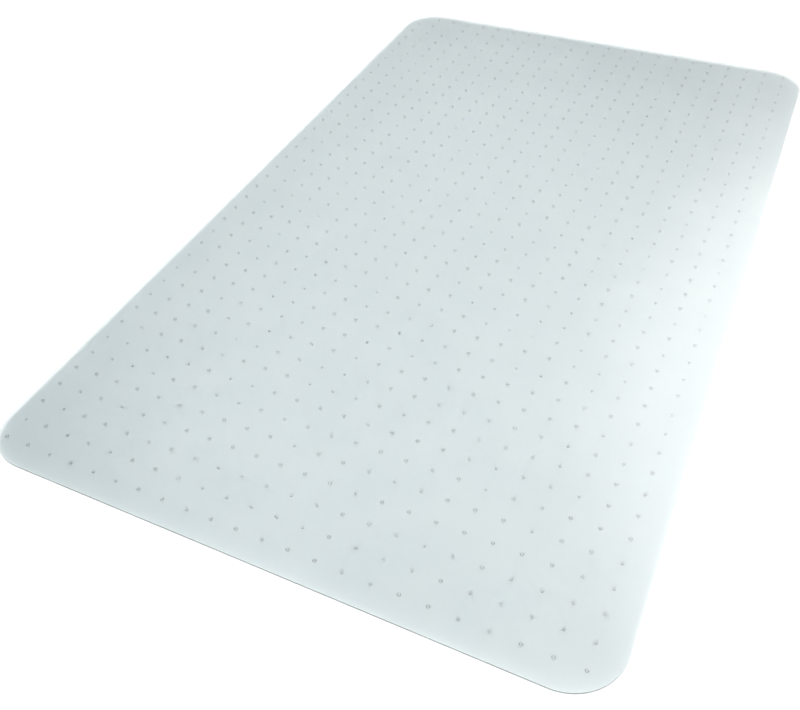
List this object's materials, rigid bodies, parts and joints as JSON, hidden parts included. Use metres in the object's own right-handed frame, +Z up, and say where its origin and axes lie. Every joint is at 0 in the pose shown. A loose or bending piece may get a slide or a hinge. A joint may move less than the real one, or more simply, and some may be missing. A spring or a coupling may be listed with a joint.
{
  "type": "chair mat",
  "caption": "Clear flat rectangular floor mat with rounded corners, on a square grid of small moulded grip studs.",
  "frame": {"origin": "on the floor, under the middle of the mat's outline: the stud tips are at z = 0", "axes": "+X across the width, +Y along the length from the front edge to the back edge, +Z up out of the surface that the chair stands on"},
  "size_m": [0.7, 1.2, 0.0055],
  "materials": {
    "clear_plastic": "clear, slightly blue-grey, fine satin texture"
  },
  "bodies": {
    "root": {"mat_sheet": "clear_plastic", "stud_row_01": "clear_plastic", "stud_row_02": "clear_plastic", "stud_row_03": "clear_plastic", "stud_row_04": "clear_plastic", "stud_row_05": "clear_plastic", "stud_row_06": "clear_plastic", "stud_row_07": "clear_plastic", "stud_row_08": "clear_plastic", "stud_row_09": "clear_plastic", "stud_row_10": "clear_plastic", "stud_row_11": "clear_plastic", "stud_row_12": "clear_plastic", "stud_row_13": "clear_plastic", "stud_row_14": "clear_plastic", "stud_row_15": "clear_plastic", "stud_row_16": "clear_plastic", "stud_row_17": "clear_plastic", "stud_row_18": "clear_plastic", "stud_row_19": "clear_plastic", "stud_row_20": "clear_plastic", "stud_row_21": "clear_plastic", "stud_row_22": "clear_plastic", "stud_row_23": "clear_plastic", "stud_row_24": "clear_plastic", "stud_row_25": "clear_plastic", "stud_row_26": "clear_plastic", "stud_row_27": "clear_plastic", "stud_row_28": "clear_plastic", "stud_row_29": "clear_plastic", "stud_row_30": "clear_plastic", "stud_row_31": "clear_plastic", "stud_row_32": "clear_plastic", "stud_row_33": "clear_plastic", "stud_row_34": "clear_plastic", "stud_row_35": "clear_plastic", "stud_row_36": "clear_plastic", "stud_row_37": "clear_plastic", "stud_row_38": "clear_plastic", "stud_row_39": "clear_plastic", "stud_row_40": "clear_plastic"}
  },
  "joints": []
}
